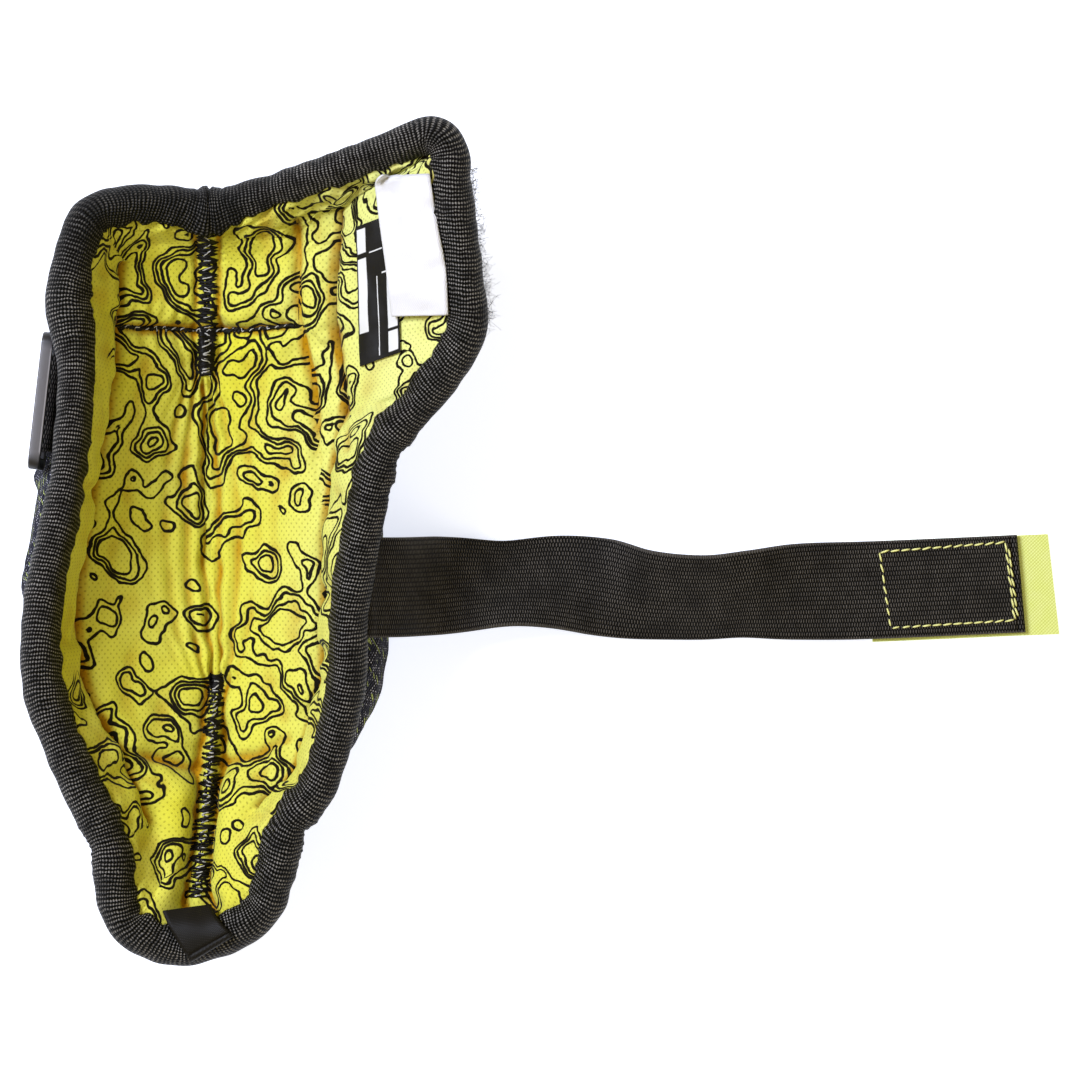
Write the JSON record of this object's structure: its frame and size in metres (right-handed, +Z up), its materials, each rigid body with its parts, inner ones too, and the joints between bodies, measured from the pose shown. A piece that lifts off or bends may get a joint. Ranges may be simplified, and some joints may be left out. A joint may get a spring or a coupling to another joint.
{
  "type": "hockey elbow pad",
  "caption": "Padded elbow guard lying open on its outer side: dark shell, printed yellow mesh lining, black bound rim with a wing, elastic strap with hook end, plastic ring.",
  "frame": {"origin": "middle of the flattened underside of the shell, on which the pad lies", "axes": "+X across the arm towards the free strap end, +Y along the arm towards the upper arm, +Z up out of the hollow"},
  "size_m": [0.2667, 0.2136, 0.0577],
  "materials": {
    "shell_cloth": "dark woven polyester",
    "binding_tape": "ribbed black tape",
    "mesh_lining": "yellow mesh knit, contour-line print",
    "pile": "brushed black loop pile",
    "elastic_webbing": "ribbed black elastic",
    "hook_tape": "lime hook tape",
    "ribbon": "black satin ribbon",
    "printed_patch": "black printed film with white blank fields",
    "white_label": "white satin label, blank",
    "ring_plastic": "moulded black plastic, soft sheen"
  },
  "bodies": {
    "pad": {"outer_shell": "shell_cloth", "edge_binding": "binding_tape", "liner_left": "mesh_lining", "liner_right": "mesh_lining", "liner_cuff": "mesh_lining", "liner_center": "mesh_lining", "loop_patch": "pile", "strap": "elastic_webbing", "hook_tab": "hook_tape", "pull_tab": "ribbon", "id_patch": "printed_patch", "care_label": "white_label", "ring_keeper": "elastic_webbing"},
    "loop": {"ring": "ring_plastic"}
  },
  "joints": [
    {"name": "ring_swing", "type": "hinge", "parent": "pad", "child": "loop", "pos_m": [-0.0392, 0.0327, 0.0215], "axis": [-0.1132, -0.9936, 0], "range_deg": [0, 100]}
  ]
}
